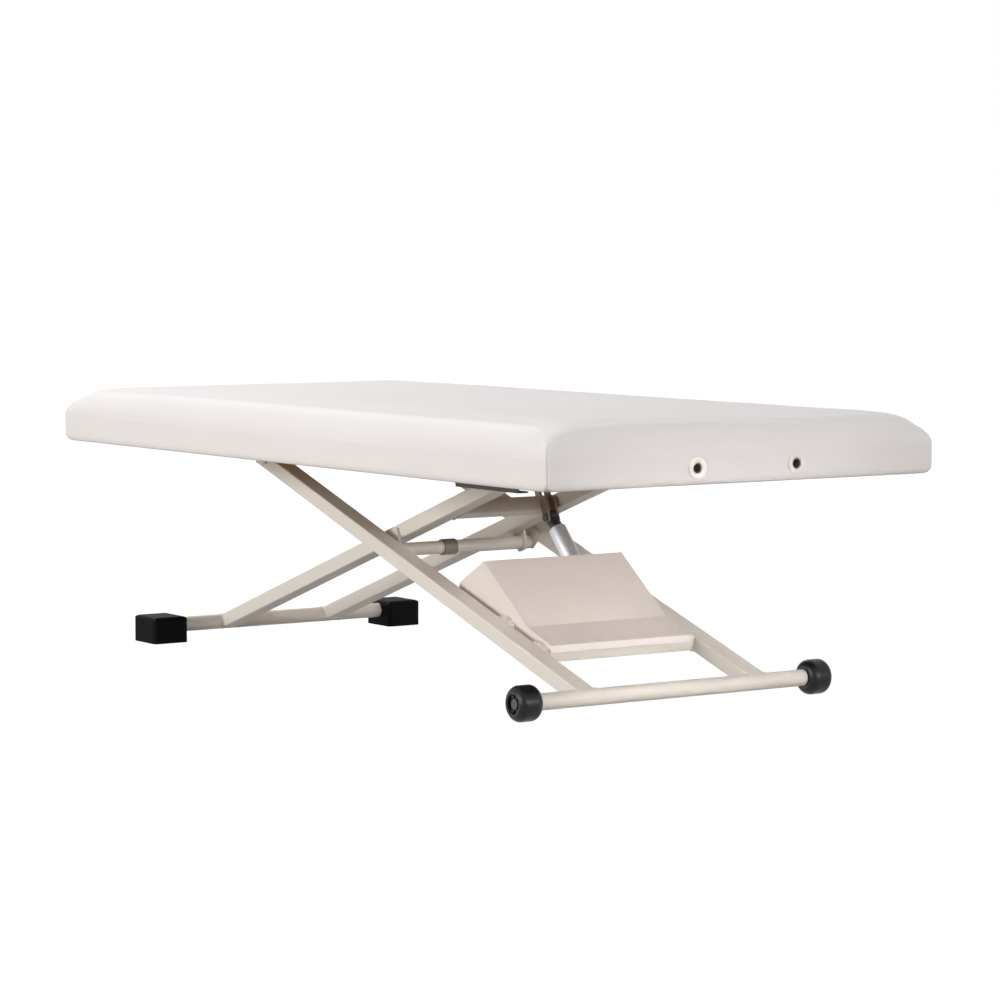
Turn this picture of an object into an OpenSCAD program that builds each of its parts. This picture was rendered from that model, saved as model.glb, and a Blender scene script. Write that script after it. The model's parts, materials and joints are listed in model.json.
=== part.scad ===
// Height-adjustable massage table on a scissor frame, at its lower working height.
// Origin on the floor under the middle of the top, +X towards the head end, +Z up.
// Left and right are those of someone who looks from the foot end to the head end.

/* [Top] */
// Length of the upholstered top
top_l = 1854; // [1750:1:1950]
// Width of the upholstered top
top_w = 889; // [760:1:950]
// Height of the wooden underside above the floor
underside_z = 439; // [436:1:445]
// Height of the wooden frame inside the top
wood_h = 45; // [40:1:50]
// Thickness of the wooden frame boards
board_t = 20; // [16:1:24]
// Thickness of the plywood deck
deck_t = 9; // [6:1:12]
// Height from the deck to the edge of the cushion
cushion_h = 59; // [54:1:66]
// Rise of the cushion from its edge to its middle
crown_h = 4; // [1:1:8]
// Radius of the cushion's upper edge
edge_round = 48; // [30:1:50]
// Radius of the cushion's upright corners
corner_r = 8; // [6:1:12]
// How far the sides of the cushion are drawn in half way
side_draw = 3; // [1:0.5:4]
// How far the lower edge is tucked in
edge_tuck = 6; // [3:0.5:8]
// Height of the tucked part
tuck_h = 14; // [10:1:18]
// Radius of the lower corners
low_corner_r = 30; // [20:1:40]
// Thickness of the vinyl
skin_t = 2; // [1:0.5:3]
// Thickness of the vinyl folded under the frame
fold_t = 1.5; // [1:0.5:2]
// Width of the vinyl folded under the frame
fold_w = 35; // [25:1:40]
// Width of the bearer over the top pins
foot_bearer_w = 90; // [80:1:110]
// Width of the bearers over the tracks
head_bearer_w = 70; // [60:1:80]
// Width of the bearer that holds the cradle sleeves
sleeve_bearer_w = 40; // [30:1:50]

/* [Face cradle holes] */
// Distance between the two holes
cradle_pitch = 228; // [200:1:240]
// Height of the holes above the underside
cradle_rise = 29; // [26:1:30]
// Diameter of the holes
cradle_bore_d = 16; // [12:0.5:18]
// Outer diameter of the sleeves
sleeve_d = 22; // [20:0.5:24]
// Length of the sleeves
sleeve_l = 120; // [80:1:140]
// Outer diameter of the rings round the holes
ring_d = 40; // [36:0.5:44]

/* [Base] */
// Distance between the front axle and the foot tube
base_l = 1462; // [1440:1:1480]
// How far the base is shifted towards the foot end
base_shift = 27; // [0:1:60]
// Height of the axle and of the foot tube
base_z = 34; // [34:1:36]
// Height of the scissor pivot above the axle
pivot_rise = 215; // [212:1:217]
// Level distance between the scissor pivot and the top pins
pin_reach = 423; // [415:1:428]
// How far the top pins lie under the wooden underside
pin_drop = 22; // [21:0.5:23]
// Width of every rail
rail_w = 40; // [36:1:42]
// Height of every rail
rail_h = 30; // [28:1:32]
// Wall of every rail
rail_wall = 2; // [1.5:0.5:3]
// Radius of the rails' outer corners
rail_round = 3; // [2.5:0.25:4]
// Distance of the outer rails from the middle
outer_y = 200; // [196:1:204]
// Distance of the inner rails from the middle
inner_y = 130; // [127:1:133]
// Distance of the outer rails' centreline above the pivot
outer_offset = 22.5; // [22:0.5:26]
// Distance of the inner rails' centreline above the pivot
inner_offset = 34; // [32:0.5:38]
// Diameter of the round cross tubes
tube_d = 32; // [28:1:34]
// Wall of the round cross tubes
tube_wall = 2; // [1.5:0.5:3]
// Thickness of the lug plates
lug_t = 6; // [5:0.5:7]
// Thickness of the plastic plugs in the rails' ends
plug_t = 2; // [1.5:0.5:3]

/* [Pivots and rollers] */
// Diameter of the scissor pivot bar
bar_d = 27; // [25:0.5:28]
// Diameter of the pivot bolts
pivot_bolt_d = 10; // [8:0.5:11]
// Diameter of the pivot bolts' heads
pivot_head_d = 14; // [13:0.5:14.5]
// Depth of the pivot bolts in the bar
pivot_bolt_depth = 35; // [25:1:45]
// Diameter of the top pins
top_pin_d = 12; // [10:0.5:12.5]
// Thickness of the top pins' bracket plates
bracket_t = 4; // [3:0.5:5]
// Diameter of the track rollers
roller_d = 37; // [34:0.5:37]
// Width of the track rollers
roller_w = 18; // [14:0.5:19]
// Diameter of the rollers' axles
roller_axle_d = 16; // [12:0.5:18]
// Wall of the tracks
track_t = 3; // [2:0.5:3]
// Foot end of the tracks
track_start = 235; // [225:1:245]
// Head end of the tracks
track_end = 452; // [440:1:470]
// Middle of the upper cross rail along the inner rails
cross_rail_u = 942; // [935:1:950]

/* [Wheels and feet] */
// Distance of the wheels' middles from the middle
wheel_y = 339; // [334:1:345]
// Width of the wheels
wheel_w = 52; // [46:1:54]
// Diameter of the hubs
hub_d = 44; // [40:1:48]
// Diameter of the axle bolts
axle_bolt_d = 12; // [10:0.5:14]
// Length of the foot blocks
foot_l = 98; // [80:1:110]
// Width of the foot blocks
foot_w = 83; // [70:1:90]
// Height of the foot blocks
foot_h = 57; // [55:1:65]
// Distance of the foot blocks' middles from the middle
foot_y = 299.5; // [290:0.5:310]
// Radius of the foot blocks' edges
foot_round = 12; // [8:1:14]

/* [Actuator] */
// Sideways place of the actuator
act_y = 91; // [86:1:91]
// Upper pin ahead of the upper cross rail
upper_pin_ahead = 10; // [9:0.5:12]
// Upper pin below the inner rails' centreline
upper_pin_low = 33; // [31:0.5:34]
// Lower pin from the axle along the outer rails
lower_pin_u = 380; // [374:0.5:384]
// Lower pin below the outer rails' centreline
lower_pin_low = 11; // [8:0.5:13]
// Diameter of the actuator's pins
act_pin_d = 10; // [8:0.5:12]
// Diameter of the actuator's outer tube
act_tube_d = 36; // [34:0.5:37]
// Diameter of the actuator's inner tube
act_rod_d = 26; // [25:0.5:27]
// Distance from the upper pin to the outer tube
act_tube_start = 32; // [31:0.5:34]
// Gap from the inner tube's end to the gear housing
rod_end_gap = 17; // [16:0.5:20]
// Diameter of the oversize eye at the lower pin
lower_eye_d = 26; // [25:0.5:27]
// Diameter of the motor
motor_d = 50; // [44:1:54]
// Length of the motor
motor_l = 100; // [80:1:110]

/* [Cover] */
// Half width of the motor cover
cover_half_w = 165; // [160:1:168]
// Wall of the motor cover
cover_t = 2; // [1:0.5:2.5]
// Back edge of the cover, from the axle along the outer rails
cover_back_u = 507; // [500:1:515]
// Ridge of the cover, from the axle along the outer rails
cover_ridge_u = 442; // [436:1:448]
// Height of the ridge above the rails' centreline
cover_ridge_h = 87; // [80:1:95]
// Bend of the cover, from the axle along the outer rails
cover_bend_u = 265; // [255:1:275]
// Height of the bend above the rails' centreline
cover_bend_h = 25; // [22:1:30]
// Lip of the cover, from the axle along the outer rails
cover_lip_u = 180; // [172:1:188]
// Height of the lip above the rails' centreline
cover_lip_h = 22; // [20:1:24]
// Drop of the lip
cover_lip_drop = 14; // [10:1:18]
// Gap beside the actuator in the cover's slot
cover_slot_side = 3; // [2:0.5:4]
// Gap before and behind the actuator in the cover's slot
cover_slot_end = 12; // [11:0.5:13]
// Depth of the cover's sides below the rails' centreline
cover_side_low = 10; // [5:1:14]

/* [Clearances] */
// Radial clearance of pins that turn
run_fit = 0.05; // [0.02:0.01:0.1]
// Radial clearance of round pieces that are welded or bolted
weld_gap = 0.1; // [0.05:0.05:0.2]
// Gap between soft or curved pieces that only lie close
near_gap = 0.3; // [0.2:0.1:0.4]

/* [Hidden] */
$fn = 48;

frame_colour = "#d8d0c2";
dark_colour = "#23211f";
wood_colour = "#c9a875";
zinc_colour = "#9a9ca0";

// Base line: axle at the head end, foot tube at the foot end
axle_x = base_l / 2 - base_shift;
foot_x = -base_l / 2 - base_shift;
pivot_x = -base_shift;
pivot_z = base_z + pivot_rise;
pin_z = underside_z - pin_drop;
wheel_r = base_z;

// Slopes of the two frames, from the pivot's place under their centrelines
arm_l = norm([base_l / 2, pivot_rise]);
arm_angle = atan2(pivot_rise, base_l / 2);
outer_slope = arm_angle + asin(outer_offset / arm_l);
inner_slope = arm_angle + asin(inner_offset / arm_l);

// A point of the side view given in an outer rail's own line, and back
function to_outer(p) = let (d = p - [axle_x, base_z])
    [d[0] * cos(outer_slope) - d[1] * sin(outer_slope),
     d[0] * sin(outer_slope) + d[1] * cos(outer_slope)];
function from_outer(q) = [axle_x, base_z] +
    [q[0] * cos(outer_slope) + q[1] * sin(outer_slope),
     -q[0] * sin(outer_slope) + q[1] * cos(outer_slope)];
function to_inner(p) = let (d = p - [foot_x, base_z])
    [d[0] * cos(inner_slope) + d[1] * sin(inner_slope),
     -d[0] * sin(inner_slope) + d[1] * cos(inner_slope)];
function from_inner(q) = [foot_x, base_z] +
    [q[0] * cos(inner_slope) - q[1] * sin(inner_slope),
     q[0] * sin(inner_slope) + q[1] * cos(inner_slope)];

pivot_a = to_outer([pivot_x, pivot_z]);
pivot_b = to_inner([pivot_x, pivot_z]);
top_pin_a = to_outer([pivot_x - pin_reach, pin_z]);
roller_b = to_inner([pivot_x + pin_reach, pin_z]);

// Ends of the rails
rail_in_round = max(rail_round - rail_wall, 0.5);
outer_end_past = 13;
inner_end_short = 39.5;
outer_end_u = top_pin_a[0] - outer_end_past;
inner_end_u = roller_b[0] - inner_end_short;

// Lug plates
lug_half_l = 20;
lug_grip = 8;
lug_edge = 4;

// Roller lugs and axles
roller_lug_back = 48;
roller_lug_r = 14;
roller_head_t = 4;
roller_head_r = 11;
roller_side_gap = 2.5;
roller_y = inner_y + rail_w / 2 + lug_t + roller_side_gap + roller_w / 2;

// Tracks
track_half_h = roller_d / 2 + near_gap;
track_web_gap = 1.5;
track_lug_gap = 1;
track_in_y = inner_y + rail_w / 2 + lug_t + track_lug_gap;
track_out_y = roller_y + roller_w / 2 + track_web_gap + track_t;

// Top pin brackets
bracket_gap = 1.5;
bracket_low = 13;
bracket_half_l = 40;
bracket_plate_half_l = 18;
bracket_base_t = 3;
bracket_base_past = 15;
bearer_past = 10;
bracket_in_y = outer_y - rail_w / 2 - bracket_gap;
bracket_out_y = outer_y + rail_w / 2 + bracket_gap;
pin_head_t = 4;

// Actuator line in the side view
upper_pin_b = [cross_rail_u + rail_w / 2 + upper_pin_ahead, -upper_pin_low];
upper_pin = from_inner(upper_pin_b);
lower_pin_a = [-lower_pin_u, -lower_pin_low];
lower_pin = from_outer(lower_pin_a);
act_l = norm(lower_pin - upper_pin);
act_angle = atan2(upper_pin[1] - lower_pin[1], lower_pin[0] - upper_pin[0]);
fork_t = 5;
fork_gap = 1;
upper_eye_r = 14;
upper_eye_half_w = 7.5;
upper_tongue_l = 16;
upper_tongue_h = 24;
fork_in_y = upper_eye_half_w + fork_gap;
fork_top = 36;
fork_grip_l = 12;
fork_lip = 3;
fork_neck = 5;
fork_shoulder = 5;
fork_edge = 10;
rod_wall = 3.5;
rod_neck_end = 26;
rod_foot_l = 10;
screw_d = 14;
screw_start = 46;
screw_gap = 0.3;
gland_l = 10;
housing_gap = 22;
housing_end = act_l - housing_gap;
housing_l = 34;
housing_start = housing_end - housing_l;
act_rod_end = housing_start - rod_end_gap;
housing_half_w = 28;
housing_half_h = 30;
housing_r = 8;
act_tube_wall = 3;
lower_eye_wall = 7;
lower_eye_half_w = 10;
lower_eye_r = lower_eye_d / 2 + lower_eye_wall;
lower_fork_gap = 1.5;
lower_fork_in_y = lower_eye_half_w + lower_fork_gap;
lower_fork_t = 5;
lower_fork_r = 10;
lower_fork_l = 35;
pin_end = 2;
pin_cap_t = 3;
pin_cap_r = 8;

// Cross rails of the outer frame
motor_rail_back = -lower_pin_u + lower_fork_l;
cover_rail_front = -cover_lip_u - 2 * cover_t;
cover_rail_back = cover_rail_front - rail_w;

// Motor cover outline over the rails, back to front
cover_low = rail_h / 2;
cover_line = [
    [-cover_back_u, rail_h / 2],
    [-cover_ridge_u, cover_ridge_h],
    [-cover_bend_u, cover_bend_h],
    [-cover_lip_u, cover_lip_h],
    [-cover_lip_u + cover_lip_drop * sin(outer_slope), cover_lip_h - cover_lip_drop * cos(outer_slope)]
];
notch_gap = 1;
tab_l = 26;
tab_t = 2;
tab_gap = 1;
tab_out_y = outer_y - rail_w / 2 - tab_gap;
tab_places = [motor_rail_back + rail_w / 2, cover_rail_back + rail_w / 2];
tab_screw_r = 2.5;
tab_head_r = 5;
tab_head_t = 2.5;

// Control box and mains inlet behind the motor's cross rail
box_l = 85;
box_w = 65;
box_low = -20;
box_high = 22;
box_r = 5;
box_gap = 3;
box_y = -cover_half_w + cover_t + box_gap;
inlet_w = 48;
inlet_h = 28;
inlet_l = 16;
inlet_rim = 4;
inlet_depth = 12;

// Wheels
wheel_round = 16;
hub_inset = 1;
hub_recess = 9;
hub_core_r = 14;
hub_rim = 3;
spoke_w = 7;
spoke_count = 3;
axle_head_r = 10;
axle_head_t = 5;
axle_bolt_depth = 45;
axle_solid_l = 60;
wheel_gap = 1;
wheel_in_y = wheel_y - wheel_w / 2;
wheel_out_y = wheel_y + wheel_w / 2;

// Feet
foot_tube_depth = 6;
foot_corner_r = 10;

// Collar on the pivot bar
collar_from = -44;
collar_to = -13;
collar_t = 3;

// Cushion
deck_z = underside_z + wood_h + deck_t;
edge_z = deck_z + cushion_h;
half_l = top_l / 2;
half_w = top_w / 2;
corner_spread = 1.3;
corner_share = 0.8;
corner_steps = 3;
long_points = 9;
short_points = 5;
wood_shrink = skin_t + near_gap;
cradle_z = underside_z + cradle_rise;

// One level outline of the cushion: rounded corners, sides drawn in by draw
function corner_point(i, a, hl, hw, r) =
    [(i == 0 || i == 3 ? 1 : -1) * (hl - r) + r * cos(a), (i < 2 ? 1 : -1) * (hw - r) + r * sin(a)];
function side_point(i, s, hl, hw, r, draw) =
    let (a = corner_point(i, 90 * (i + 1), hl, hw, r))
    let (b = corner_point((i + 1) % 4, 90 * (i + 1), hl, hw, r))
    a + (b - a) * s - draw * sin(180 * s) * [cos(90 * (i + 1)), sin(90 * (i + 1))];
function outline(hl, hw, r, draw) = [
    for (i = [0:3]) each concat(
        [for (k = [0:corner_steps]) corner_point(i, 90 * (i + k / corner_steps), hl, hw, r)],
        let (n = i % 2 == 0 ? long_points : short_points)
        [for (j = [1:n]) side_point(i, j / (n + 1), hl, hw, r, draw)]
    )
];

// Level, inset, draw and corner radius of each ring of the cushion, from its lower edge to its crown
function levels(shrink, low) =
    let (r = edge_round - shrink)
    let (rim = edge_z - shrink)
    concat(
        low < deck_z ? [[low, edge_tuck, 0, low_corner_r], [low + tuck_h, 0, 0, corner_r]] : [],
        [[deck_z, 0, 0, corner_r]],
        [for (a = [0:18:90]) let (inset = r * (1 - cos(a)))
            [rim - r + r * sin(a), inset, side_draw * sin(180 * (a + 20) / 130), spread_r(inset)]],
        [for (f = [0.25, 0.55, 0.9]) let (inset = r + f * (half_w - edge_round - corner_r))
            [rim + crown_h * (1 - (1 - f) * (1 - f)), inset, 0, spread_r(inset)]]
    );
function spread_r(inset) = min(corner_r + corner_spread * inset, corner_share * (half_w - inset));
function ring(level, shrink) = [
    for (p = outline(half_l - shrink - level[1], half_w - shrink - level[1], level[3] - shrink / 2, level[2]))
        [p[0], p[1], level[0]]
];

// Closed body through a stack of rings with the same number of points
module stack(rings) {
    n = len(rings[0]);
    m = len(rings);
    low = n * m;
    high = low + 1;
    centres = [[0, 0, rings[0][0][2]], [0, 0, rings[m - 1][0][2]]];
    sides = [
        for (i = [0:m - 2], j = [0:n - 1])
            let (a = i * n + j, b = i * n + (j + 1) % n)
            each [[a, a + n, b], [b, a + n, b + n]]
    ];
    caps = [
        for (j = [0:n - 1])
            let (k = (j + 1) % n)
            each [[low, j, k], [high, (m - 1) * n + k, (m - 1) * n + j]]
    ];
    polyhedron(concat([for (r = rings) each r], centres), concat(sides, caps));
}

module cushion_form(shrink, low) {
    stack([for (v = levels(shrink, low)) ring(v, shrink)]);
}

// Round bar along Y at a place of the side view
module bar_y(x, z, from, to, r) {
    translate([x, from, z]) rotate([-90, 0, 0]) cylinder(h = to - from, r = r);
}

// Box from its two far corners
module block(a, b) {
    translate(a) cube(b - a);
}

module rounded_rect(l, w, r) {
    square([l - 2 * r, w], center = true);
    square([l, w - 2 * r], center = true);
    for (x = [-1, 1], y = [-1, 1]) translate([x * (l / 2 - r), y * (w / 2 - r)]) circle(r);
}

module on_outer() {
    translate([axle_x, 0, base_z]) rotate([0, outer_slope, 0]) children();
}

module on_inner() {
    translate([foot_x, 0, base_z]) rotate([0, -inner_slope, 0]) children();
}

module on_actuator() {
    translate([upper_pin[0], act_y, upper_pin[1]]) rotate([0, act_angle, 0]) children();
}

// Plate that stands across Y, from an outline in the side view
module plate_y(points, from, to) {
    translate([0, to, 0]) rotate([90, 0, 0]) linear_extrude(to - from) polygon(points);
}

module rail_section() {
    difference() {
        rounded_rect(rail_w, rail_h, rail_round);
        rounded_rect(rail_w - 2 * rail_wall, rail_h - 2 * rail_wall, rail_in_round);
    }
}

module rail_tube(from, to, y) {
    translate([from, y, 0]) rotate([90, 0, 90]) linear_extrude(to - from) rail_section();
}

module cross_tube(u, half) {
    translate([u, half, 0]) rotate([90, 0, 0]) linear_extrude(2 * half) rail_section();
}

module end_plug(u, y) {
    translate([u - plug_t, y, 0]) rotate([90, 0, 90]) linear_extrude(plug_t)
        rounded_rect(rail_w, rail_h, rail_round);
}

// Upholstered top

module vinyl_cover() {
    color("#f1eeee") difference() {
        cushion_form(0, underside_z - fold_t);
        cushion_form(skin_t, underside_z);
        block(
            [-half_l + fold_w, -half_w + fold_w, underside_z - fold_t - 1],
            [half_l - fold_w, half_w - fold_w, underside_z + 1]
        );
        for (s = [-1, 1]) translate([half_l - 2 * skin_t, s * cradle_pitch / 2, cradle_z])
            rotate([0, 90, 0]) cylinder(h = 4 * skin_t, r = ring_d / 2 + near_gap);
    }
}

module foam_pad() {
    color("#efe6b8") cushion_form(wood_shrink, deck_z);
}

module wood_outline(inset, r) {
    rounded_rect(top_l - 2 * (wood_shrink + inset), top_w - 2 * (wood_shrink + inset), r - skin_t / 2);
}

module deck_board() {
    color(wood_colour) translate([0, 0, deck_z - deck_t]) linear_extrude(deck_t) wood_outline(0, corner_r);
}

// Piece of the frame under the deck, with its lower edge set back for the tuck
module wood_frame(from, to) {
    color(wood_colour) intersection() {
        union() {
            translate([0, 0, underside_z]) linear_extrude(tuck_h) wood_outline(edge_tuck, low_corner_r);
            translate([0, 0, underside_z + tuck_h]) linear_extrude(wood_h - tuck_h) wood_outline(0, corner_r);
        }
        block([from[0], from[1], underside_z - 1], [to[0], to[1], deck_z]);
    }
}

rail_in_y = half_w - wood_shrink - board_t;
rail_in_x = half_l - wood_shrink - board_t;

module side_rail(s) {
    wood_frame(s > 0 ? [-half_l, rail_in_y] : [-half_l, -half_w], s > 0 ? [half_l, half_w] : [half_l, -rail_in_y]);
}

module side_rail_left() side_rail(1);
module side_rail_right() side_rail(-1);

module sleeve_holes() {
    for (s = [-1, 1]) translate([half_l - sleeve_l - 2 * skin_t, s * cradle_pitch / 2, cradle_z])
        rotate([0, 90, 0]) cylinder(h = sleeve_l + 4 * skin_t, r = sleeve_d / 2 + weld_gap);
}

module end_rail_head() {
    color(wood_colour) difference() {
        wood_frame([rail_in_x, -rail_in_y], [half_l, rail_in_y]);
        sleeve_holes();
    }
}

module end_rail_foot() {
    wood_frame([-half_l, -rail_in_y], [-rail_in_x, rail_in_y]);
}

module bearer(x, w) {
    wood_frame([x - w / 2, -rail_in_y], [x + w / 2, rail_in_y]);
}

module bearer_foot() bearer(pivot_x - pin_reach, foot_bearer_w);
module bearer_middle() bearer(track_start + head_bearer_w / 2 - bearer_past, head_bearer_w);
module bearer_head() bearer(track_end - head_bearer_w / 2 + bearer_past, head_bearer_w);

module sleeve_bearer() {
    color(wood_colour) difference() {
        bearer(half_l - sleeve_l + sleeve_bearer_w / 2, sleeve_bearer_w);
        sleeve_holes();
    }
}

module cradle_sleeve(s) {
    color(zinc_colour) translate([half_l - sleeve_l, s * cradle_pitch / 2, cradle_z]) rotate([0, 90, 0])
        difference() {
            cylinder(h = sleeve_l - wood_shrink, r = sleeve_d / 2);
            translate([0, 0, -1]) cylinder(h = sleeve_l + 2, r = cradle_bore_d / 2);
        }
}

module cradle_sleeve_left() cradle_sleeve(1);
module cradle_sleeve_right() cradle_sleeve(-1);

module cradle_ring(s) {
    color("#f4f0ea") translate([half_l - wood_shrink, s * cradle_pitch / 2, cradle_z]) rotate([0, 90, 0])
        difference() {
            cylinder(h = wood_shrink, r = ring_d / 2);
            translate([0, 0, -1]) cylinder(h = wood_shrink + 2, r = cradle_bore_d / 2);
        }
}

module cradle_ring_left() cradle_ring(1);
module cradle_ring_right() cradle_ring(-1);

// Top pins in their brackets

module pin_bracket(s) {
    x = pivot_x - pin_reach;
    low = pin_z - bracket_low;
    color(frame_colour) difference() {
        union() {
            block(
                [x - bracket_half_l, outer_y - rail_w / 2 - bracket_base_past, underside_z - bracket_base_t],
                [x + bracket_half_l, outer_y + rail_w / 2 + bracket_base_past, underside_z]
            );
            for (y = [bracket_in_y - bracket_t, bracket_out_y]) block(
                [x - bracket_plate_half_l, y, low],
                [x + bracket_plate_half_l, y + bracket_t, underside_z - bracket_base_t]
            );
        }
        bar_y(x, pin_z, 0, 2 * outer_y, top_pin_d / 2 + weld_gap);
    }
}

module pin_bracket_left() pin_bracket(1);
module pin_bracket_right() mirror([0, 1, 0]) pin_bracket(-1);

module top_pins() {
    x = pivot_x - pin_reach;
    color(zinc_colour) for (s = [0, 1]) mirror([0, s, 0]) {
        bar_y(x, pin_z, bracket_in_y - bracket_t - pin_end, bracket_out_y + bracket_t, top_pin_d / 2);
        bar_y(x, pin_z, bracket_out_y + bracket_t, bracket_out_y + bracket_t + pin_head_t, top_pin_d / 2 + 3);
    }
}

// Tracks for the rollers

module track(s) {
    low = pin_z - track_half_h;
    high = pin_z + track_half_h;
    color(dark_colour) mirror([0, s, 0]) {
        block([track_start, track_out_y - track_t, low - track_t], [track_end, track_out_y, underside_z]);
        block([track_start, track_in_y, low - track_t], [track_end, track_out_y - track_t, low]);
        block([track_start, track_in_y, high], [track_end, track_out_y - track_t, underside_z]);
    }
}

module track_left() track(0);
module track_right() track(1);

// Outer frame with the wheels

module outer_rail(s) {
    color(frame_colour) difference() {
        on_outer() rail_tube(outer_end_u, 0, s * outer_y);
        bar_y(axle_x, base_z, -half_w, half_w, tube_d / 2 + weld_gap);
        bar_y(pivot_x - pin_reach, pin_z, -half_w, half_w, top_pin_d / 2 + run_fit);
    }
}

module outer_rail_left() outer_rail(1);
module outer_rail_right() outer_rail(-1);

module outer_rail_plugs() {
    color(dark_colour) on_outer() for (s = [-1, 1]) end_plug(outer_end_u, s * outer_y);
}

module front_cross_tube() {
    half = wheel_in_y - wheel_gap;
    solid = half - axle_solid_l;
    color(frame_colour) difference() {
        bar_y(axle_x, base_z, -half, half, tube_d / 2);
        bar_y(axle_x, base_z, -solid, solid, tube_d / 2 - tube_wall);
        for (s = [0, 1]) mirror([0, s, 0])
            bar_y(axle_x, base_z, half - axle_bolt_depth - 1, half + 1, axle_bolt_d / 2 + weld_gap);
    }
}

module outer_cross_rail(back) {
    color(frame_colour) on_outer() cross_tube(back + rail_w / 2, outer_y - rail_w / 2);
}

module cover_cross_rail() outer_cross_rail(cover_rail_back);
module motor_cross_rail() outer_cross_rail(motor_rail_back);

module outer_lugs() {
    out = outer_y - rail_w / 2;
    low = pivot_a[1] - pivot_head_d / 2 - lug_edge;
    color(frame_colour) on_outer() for (s = [0, 1]) mirror([0, s, 0]) difference() {
        plate_y([
            [pivot_a[0] - lug_half_l, lug_grip], [pivot_a[0] + lug_half_l, lug_grip],
            [pivot_a[0] + lug_half_l, -rail_h / 2], [pivot_a[0] + lug_half_l / 2, low],
            [pivot_a[0] - lug_half_l / 2, low], [pivot_a[0] - lug_half_l, -rail_h / 2]
        ], out - lug_t, out);
        bar_y(pivot_a[0], pivot_a[1], out - 2 * lug_t, out + lug_t, pivot_bolt_d / 2 + weld_gap);
    }
}

module pivot_bolts() {
    out = outer_y - rail_w / 2;
    color(zinc_colour) for (s = [0, 1]) mirror([0, s, 0]) {
        bar_y(pivot_x, pivot_z, out - lug_t - pivot_bolt_depth, out, pivot_bolt_d / 2);
        bar_y(pivot_x, pivot_z, out, out + lug_t, pivot_head_d / 2);
    }
}

module axle_bolts() {
    seat = wheel_out_y - hub_recess + weld_gap;
    color(zinc_colour) for (s = [0, 1]) mirror([0, s, 0]) {
        bar_y(axle_x, base_z, wheel_in_y - wheel_gap - axle_bolt_depth, seat, axle_bolt_d / 2);
        bar_y(axle_x, base_z, seat, seat + axle_head_t, axle_head_r);
    }
}

// Wheels

module wheel_tyre(s) {
    r = wheel_r - wheel_round;
    color(dark_colour) translate([axle_x, s * wheel_y, base_z]) rotate([90, 0, 0]) rotate_extrude($fn = 96) {
        difference() {
            union() {
                translate([hub_d / 2 + weld_gap, -wheel_w / 2 + wheel_round])
                    square([wheel_r - hub_d / 2 - weld_gap, wheel_w - 2 * wheel_round]);
                for (t = [-1, 1]) translate([r, t * (wheel_w / 2 - wheel_round)]) circle(wheel_round);
            }
            translate([0, -wheel_w]) square([hub_d / 2 + weld_gap, 2 * wheel_w]);
        }
    }
}

module wheel_tyre_left() wheel_tyre(1);
module wheel_tyre_right() wheel_tyre(-1);

module wheel_hub(s) {
    half = wheel_w / 2 - hub_inset;
    color("#3a3836") translate([axle_x, s * wheel_y, base_z]) rotate([-90 * s, 0, 0]) difference() {
        translate([0, 0, -half]) cylinder(h = 2 * half, r = hub_d / 2);
        difference() {
            translate([0, 0, wheel_w / 2 - hub_recess]) cylinder(h = hub_recess, r = hub_d / 2 - hub_rim);
            for (k = [0:spoke_count - 1]) rotate(360 * k / spoke_count)
                block([0, -spoke_w / 2, 0], [hub_d / 2, spoke_w / 2, wheel_w / 2 - hub_recess + 4]);
        }
        translate([0, 0, wheel_w / 2 - hub_recess]) cylinder(h = hub_recess, r = hub_core_r - hub_inset);
        translate([0, 0, -wheel_w]) cylinder(h = 2 * wheel_w, r = axle_bolt_d / 2 + run_fit);
    }
}

module wheel_hub_left() wheel_hub(1);
module wheel_hub_right() wheel_hub(-1);

// Inner frame with the foot tube

module inner_rail(s) {
    color(frame_colour) difference() {
        on_inner() rail_tube(0, inner_end_u, s * inner_y);
        bar_y(foot_x, base_z, -half_w, half_w, tube_d / 2 + weld_gap);
    }
}

module inner_rail_left() inner_rail(1);
module inner_rail_right() inner_rail(-1);

module inner_rail_plugs() {
    color(dark_colour) on_inner() for (s = [-1, 1]) end_plug(inner_end_u + plug_t, s * inner_y);
}

module foot_cross_tube() {
    half = foot_y + foot_w / 2 - foot_tube_depth;
    color(frame_colour) difference() {
        bar_y(foot_x, base_z, -half, half, tube_d / 2);
        bar_y(foot_x, base_z, -half - 1, half + 1, tube_d / 2 - tube_wall);
    }
}

module upper_cross_rail() {
    color(frame_colour) on_inner() cross_tube(cross_rail_u, inner_y - rail_w / 2);
}

module pivot_bar() {
    half = outer_y - rail_w / 2 - lug_t - near_gap;
    color(frame_colour) difference() {
        bar_y(pivot_x, pivot_z, -half, half, bar_d / 2);
        for (s = [0, 1]) mirror([0, s, 0])
            bar_y(pivot_x, pivot_z, half - pivot_bolt_depth - 1, half + 1, pivot_bolt_d / 2 + run_fit);
    }
}

module inner_lugs() {
    in = inner_y + rail_w / 2;
    low = pivot_b[1] - bar_d / 2 - lug_edge;
    color(frame_colour) on_inner() for (s = [0, 1]) mirror([0, s, 0]) difference() {
        plate_y([
            [pivot_b[0] - lug_half_l, lug_grip], [pivot_b[0] + lug_half_l, lug_grip],
            [pivot_b[0] + lug_half_l, pivot_b[1]], [pivot_b[0] + lug_half_l / 2, low],
            [pivot_b[0] - lug_half_l / 2, low], [pivot_b[0] - lug_half_l, pivot_b[1]]
        ], in, in + lug_t);
        bar_y(pivot_b[0], pivot_b[1], in - lug_t, in + 2 * lug_t, bar_d / 2 + weld_gap);
    }
}

module pivot_collar() {
    color("#77736a") difference() {
        bar_y(pivot_x, pivot_z, collar_from, collar_to, bar_d / 2 + collar_t);
        bar_y(pivot_x, pivot_z, collar_from - 1, collar_to + 1, bar_d / 2 + weld_gap);
    }
}

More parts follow.
